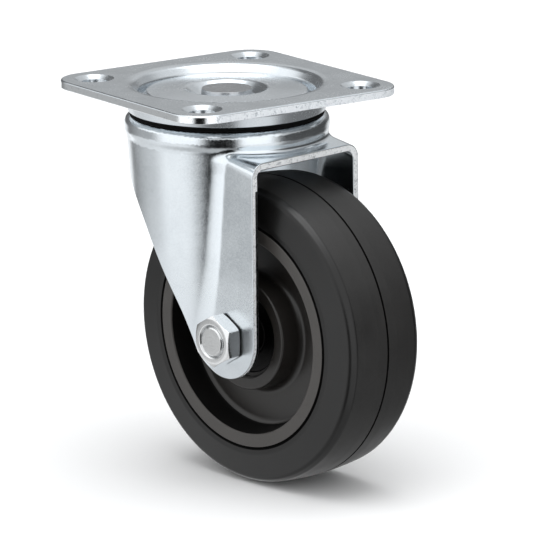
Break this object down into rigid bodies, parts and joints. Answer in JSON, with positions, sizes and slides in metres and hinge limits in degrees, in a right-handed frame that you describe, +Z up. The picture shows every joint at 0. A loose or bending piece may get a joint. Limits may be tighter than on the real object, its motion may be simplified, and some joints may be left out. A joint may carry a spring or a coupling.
{
  "type": "swivel castor",
  "caption": "Swivel castor with a square pressed steel plate, ball race head, pressed steel fork, and a solid-tyred wheel on ball bearings.",
  "frame": {"origin": "centre of the plate's top face, on the swivel axis", "axes": "+Z up out of the plate's top face, +X and +Y along the plate's edges; at rest the fork is swivelled 9 degrees about +Z, so the wheel trails towards +X and its axle runs near +Y"},
  "size_m": [0.1151, 0.084, 0.1275],
  "materials": {
    "zinc_plate": "bright zinc plate on pressed sheet, satin with a fine mottled grain",
    "zinc_fork": "bright zinc plate, glossy on the flats and cut edges, satin grain over the head",
    "zinc_fastener": "bright zinc plated, turned faces",
    "rivet_steel": "closed rivet steel, slightly warm and satin",
    "bearing_steel": "hardened and polished",
    "pressed_steel": "plain pressed strip",
    "spacer_steel": "dull turned steel",
    "seal_rubber": "soft black ring",
    "wheel_plastic": "moulded, satin, warm dark grey",
    "tyre_rubber": "smooth satin charcoal"
  },
  "bodies": {
    "plate": {"top_plate": "zinc_plate", "kingpin": "rivet_steel", "lower_race": "pressed_steel", "head_seal": "seal_rubber"},
    "upper_ball_ring": {"upper_race_balls": "bearing_steel"},
    "lower_ball_ring": {"lower_race_balls": "bearing_steel"},
    "fork": {"fork": "zinc_fork", "axle_bolt": "zinc_fastener", "axle_nut": "zinc_fastener", "near_end_spacer": "spacer_steel", "far_end_spacer": "spacer_steel", "centre_spacer": "pressed_steel", "near_inner_ring": "bearing_steel", "far_inner_ring": "bearing_steel"},
    "wheel": {"wheel_rim": "wheel_plastic", "wheel_web": "wheel_plastic", "wheel_hub": "wheel_plastic", "tyre": "tyre_rubber", "near_outer_ring": "bearing_steel", "far_outer_ring": "bearing_steel", "near_shields": "pressed_steel", "far_shields": "pressed_steel"},
    "near_ball_set": {"near_bearing_balls": "bearing_steel", "near_cage": "pressed_steel"},
    "far_ball_set": {"far_bearing_balls": "bearing_steel", "far_cage": "pressed_steel"}
  },
  "joints": [
    {"name": "swivel", "type": "hinge", "parent": "plate", "child": "fork", "pos_m": [0, 0, -0.0135], "axis": [0, 0, 1], "continuous": true},
    {"name": "upper_balls_roll", "type": "hinge", "parent": "plate", "child": "upper_ball_ring", "pos_m": [0, 0, -0.0082], "axis": [0, 0, 1], "continuous": true},
    {"name": "lower_balls_roll", "type": "hinge", "parent": "plate", "child": "lower_ball_ring", "pos_m": [0, 0, -0.01585], "axis": [0, 0, 1], "continuous": true},
    {"name": "wheel_spin", "type": "hinge", "parent": "fork", "child": "wheel", "pos_m": [0.02272, 0.0036, -0.0775], "axis": [-0.1564, 0.9877, 0], "continuous": true},
    {"name": "near_balls_roll", "type": "hinge", "parent": "fork", "child": "near_ball_set", "pos_m": [0.02272, 0.0036, -0.0775], "axis": [-0.1564, 0.9877, 0], "continuous": true},
    {"name": "far_balls_roll", "type": "hinge", "parent": "fork", "child": "far_ball_set", "pos_m": [0.02272, 0.0036, -0.0775], "axis": [-0.1564, 0.9877, 0], "continuous": true}
  ],
  "couplings": [
    {"joint": "upper_balls_roll", "follows": "swivel", "ratio": 0.5},
    {"joint": "lower_balls_roll", "follows": "swivel", "ratio": 0.5},
    {"joint": "near_balls_roll", "follows": "wheel_spin", "ratio": 0.6322},
    {"joint": "far_balls_roll", "follows": "wheel_spin", "ratio": 0.6322}
  ]
}
